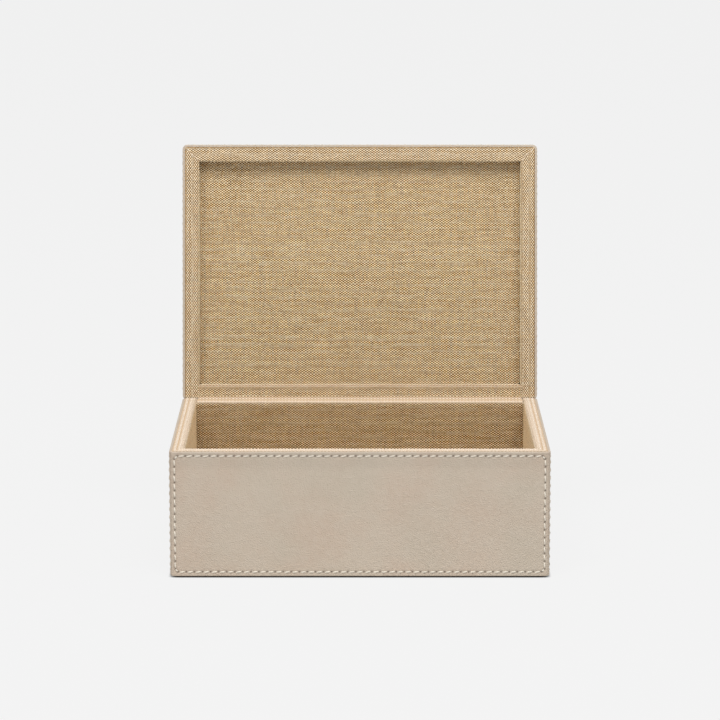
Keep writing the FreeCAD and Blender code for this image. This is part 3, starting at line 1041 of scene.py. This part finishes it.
# Hinge cloth: one length of linen glued up the back wall and over its rim, across to the rear rail of the
# lid and into the recess. Between the two rims it is free and makes a small hollow, where the lid turns.
wall_half_width = 114.9
recess_half_width = 113.4
hinge_rim = 83.8
hollow_radius = 3.0
hollow_end = -10
bend_middle = 0.3
band_fade = 4
ridge_point = 4
wall_points = 24
wall_turn_steps = 6
hollow_steps = 10
lid_turn_steps = 7
short_run = 5
lid_run = 6
hinge_seed = 31
back_wall_face = 78.5
hinge_wall_edge = 1.0
hinge_lid_edge = 2.6
hinge_lid_cap = 9.2
# Painted highlight on the band over the back rim and on the ridge of the lid's rear rail; painted shade down
# the back wall inside the box.
hinge_highlight = 0.95
ridge_reach = 2.2
pulled_flat = 0.8
hinge_inside_shade = 0.3

turn_middle = (back_wall_face + hinge_wall_edge, hinge_rim - hinge_wall_edge)
turn = round_turn(turn_middle, hinge_wall_edge, 180, 90, wall_turn_steps)
wall = np.linspace((back_wall_face, wall_lining_bottom), turn[0], wall_points)[:-1]


def lid_point(inward, up):
    """A point of the lid's rear lining in the section, inward from the hinge and up from the lid's rim."""
    return swung_open(np.array([0, hinge_y - inward, lid_rim + up]))[1:]


tilt = math.tan(lid_open_angle - math.pi / 2)
rim_line = lid_point(0, 0)
fold = rim_line + (hinge_rim - rim_line[1]) * np.array([tilt, 1])
hollow_start = fold - (hollow_radius / math.tan(math.radians(bevel_angle)), 0)
hollow_middle = hollow_start + (0, hollow_radius)
hollow = round_turn(hollow_middle, hollow_radius, -90, hollow_end, hollow_steps)
rim = np.linspace(turn[-1], hollow[0], short_run)[1:-1]
lid_turn_middle = (hinge_lid_cap - hinge_lid_edge, hinge_lid_edge)
lid_edge = round_turn(lid_turn_middle, hinge_lid_edge, -90, 0, lid_turn_steps)
lid_edge = np.array([lid_point(inward, up) for inward, up in lid_edge])
recess = np.linspace(lid_edge[-1], lid_point(hinge_lid_cap, lid_lining_depth), short_run)[1:]
lid_part = np.linspace(hollow[-1], lid_edge[0], lid_run)[1:-1]
section = np.concatenate([wall, turn, rim, hollow, lid_part, lid_edge, recess])
cut_size = (2 * wall_half_width * millimetre, float(run_lengths(section)[-1]) * millimetre)
to_hollow = run_lengths(np.concatenate([wall, turn, rim, hollow]))[-1] - hollow_radius
u, v, numbers = thread_grid(2 * wall_half_width, run_lengths(section)[-1], hinge_seed)
y, z = along_section(section, v)
on_lid = np.clip((v - to_hollow) / hollow_radius, 0, 1)
half_width_here = wall_half_width + (recess_half_width - wall_half_width) * on_lid
x = np.clip(u - wall_half_width, -half_width_here, half_width_here)
to_ridge = np.linalg.norm(np.stack([y, z], -1) - lid_edge[ridge_point], axis=-1)
# Painted highlight on the band and the ridge, and painted shade down the back wall below the rim.
highlight_band = np.clip((z - hinge_rim) / light_fade_depth + 1, 0, 1) * np.clip(band_fade * (1 - on_lid), 0, 1)
numbers[..., 2] = hinge_highlight * np.maximum(highlight_band, np.exp(-(to_ridge / ridge_reach) ** 2))
numbers[..., 2] -= hinge_inside_shade * np.clip((hinge_rim - hinge_wall_edge - z) / light_fade_depth, 0, 1)
free = 1 - pulled_flat * np.exp(-((v - to_hollow) / hollow_radius - bend_middle) ** 2)
free[0] = free[-1] = 0
free[:, 0] = free[:, -1] = 0
hinge_sheet = woven_sheet(np.stack([x, y, z], -1), numbers, free, 1, hinge_seed)
hinge_cloth = cloth_piece("hinge_linen", [hinge_sheet])
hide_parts("back_lining", "hinge_fold", "lid_back_lining")
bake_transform(hinge_cloth)

# Table and light: a plain pale floor, one large soft lamp above and in front, and even light all round.
# The camera stands where the photograph was taken from.
floor_size = 20.0
floor_tone = 0.8
floor_seen = 0.894
floor_shadow_share = 0.04
# How far the painted contact shadow on the floor reaches.
contact_shadow_reach = 0.002
sky_light = 0.4
lamp_power = 96.0
lamp_height = 65.0
lamp_distance = 3.0
lamp_width = 3.0
lamp_depth = 1.3
lamp_aim = 0.1
camera_aside = 0.0001
camera_height = 0.5544
camera_back = -2.2586
camera_tilt = 10.669
camera_lens = 169.56


def seen_rays(tree):
    """1 for the rays that show a thing, straight or in a mirror or glass, and 0 for those that light it."""
    rays = node(tree, "ShaderNodeLightPath", {})
    bent = sum_of(tree, "MAXIMUM", rays["Is Glossy Ray"], rays["Is Transmission Ray"])
    return sum_of(tree, "MAXIMUM", rays["Is Camera Ray"], bent)


seen_colour = (floor_seen, floor_seen, floor_seen, 1.0)
floor_finish, tree, shader = new_finish("pale_floor")
output = next(step for step in tree.nodes if step.type == "OUTPUT_MATERIAL")
surface(tree, shader, {
    "Base Color": (floor_tone, floor_tone, floor_tone, 1.0),
    "Roughness": 1.0,
    "Specular IOR Level": 0.0,
})
# Painted shadow: ambient occlusion darkens the floor's even glow close to the box.
shade = {"Color": seen_colour, "Distance": contact_shadow_reach}
contact_shadow = node(tree, "ShaderNodeAmbientOcclusion", shade, samples=8)["Color"]
glow = node(tree, "ShaderNodeEmission", {"Color": contact_shadow})["Emission"]
share = sum_of(tree, "MULTIPLY", seen_rays(tree), 1 - floor_shadow_share)
blend = node(tree, "ShaderNodeMixShader", {0: share, 1: shader.outputs["BSDF"], 2: glow})
tree.links.new(blend["Shader"], output.inputs["Surface"])
floor_mesh = bpy.data.meshes.new("floor")
reach = floor_size / 2
floor_corners = [(-reach, -reach, 0), (reach, -reach, 0), (reach, reach, 0), (-reach, reach, 0)]
floor_mesh.from_pydata(floor_corners, [], [(0, 1, 2, 3)])
floor_mesh.materials.append(floor_finish)
floor = placed("floor", floor_mesh)

world = bpy.data.worlds.new("even_light")
bpy.context.scene.world = world
world.use_nodes = True
tree = world.node_tree
tree.nodes.clear()
white = (1.0, 1.0, 1.0, 1.0)
sky = node(tree, "ShaderNodeBackground", {"Color": white, "Strength": sky_light})[0]
shown = node(tree, "ShaderNodeBackground", {"Color": seen_colour})[0]
blend = node(tree, "ShaderNodeMixShader", {0: seen_rays(tree), 1: sky, 2: shown})[0]
node(tree, "ShaderNodeOutputWorld", {"Surface": blend})

lamp = bpy.data.lights.new("soft_lamp", "AREA")
lamp.shape = "RECTANGLE"
lamp.size = lamp_width
lamp.size_y = lamp_depth
lamp.energy = lamp_power
lamp_object = placed("soft_lamp", lamp)
lamp_tilt = math.radians(lamp_height)
lamp_up = lamp_distance * math.sin(lamp_tilt) + lamp_aim
lamp_object.location = (0, -lamp_distance * math.cos(lamp_tilt), lamp_up)
lamp_object.rotation_euler = (math.radians(90 - lamp_height), 0, 0)

camera = bpy.data.cameras.new("camera")
camera.lens = camera_lens
camera.sensor_width = 36.0
camera_object = placed("camera", camera)
camera_object.location = (camera_aside, camera_back, camera_height)
camera_object.rotation_euler = (math.radians(90 - camera_tilt), 0, 0)
bpy.context.scene.camera = camera_object
bpy.context.scene.view_settings.view_transform = "Standard"
